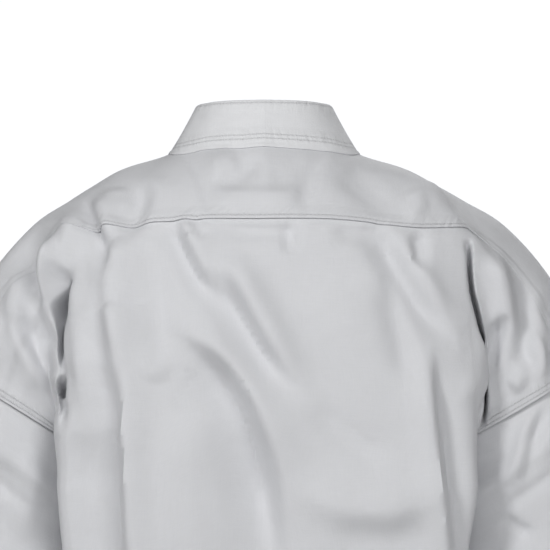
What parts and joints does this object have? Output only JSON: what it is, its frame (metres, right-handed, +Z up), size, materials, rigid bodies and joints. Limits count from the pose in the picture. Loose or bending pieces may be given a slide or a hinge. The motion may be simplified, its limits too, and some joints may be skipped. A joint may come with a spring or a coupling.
{
  "type": "karate gi jacket",
  "caption": "White cotton karate gi jacket in its worn shape: standing lapel band, shoulder yoke, wrapped fronts, wide open sleeves and outer ties knotted at the hip.",
  "frame": {"origin": "between the shoulders, level with the points where the shoulder line meets the neck, on the centre line, where a wearer or a stand holds the jacket up", "axes": "+Z up, the front faces -Y, the wearer's left is +X"},
  "size_m": [0.7702, 0.2484, 0.7897],
  "materials": {
    "jacket_cotton": "plain woven white cotton, matt",
    "band_cotton": "folded and topstitched white cotton, matt",
    "tie_tape": "folded white cotton tape, matt"
  },
  "bodies": {
    "root": {"back_panel": "jacket_cotton", "shoulder_yoke": "jacket_cotton", "front_left": "jacket_cotton", "front_right": "jacket_cotton", "sleeve_left": "jacket_cotton", "sleeve_right": "jacket_cotton", "lapel_band": "band_cotton", "tie_knot": "tie_tape", "tie_lead_over": "tie_tape", "tie_lead_side": "tie_tape", "tie_end_over": "tie_tape", "tie_end_side": "tie_tape"}
  },
  "joints": []
}
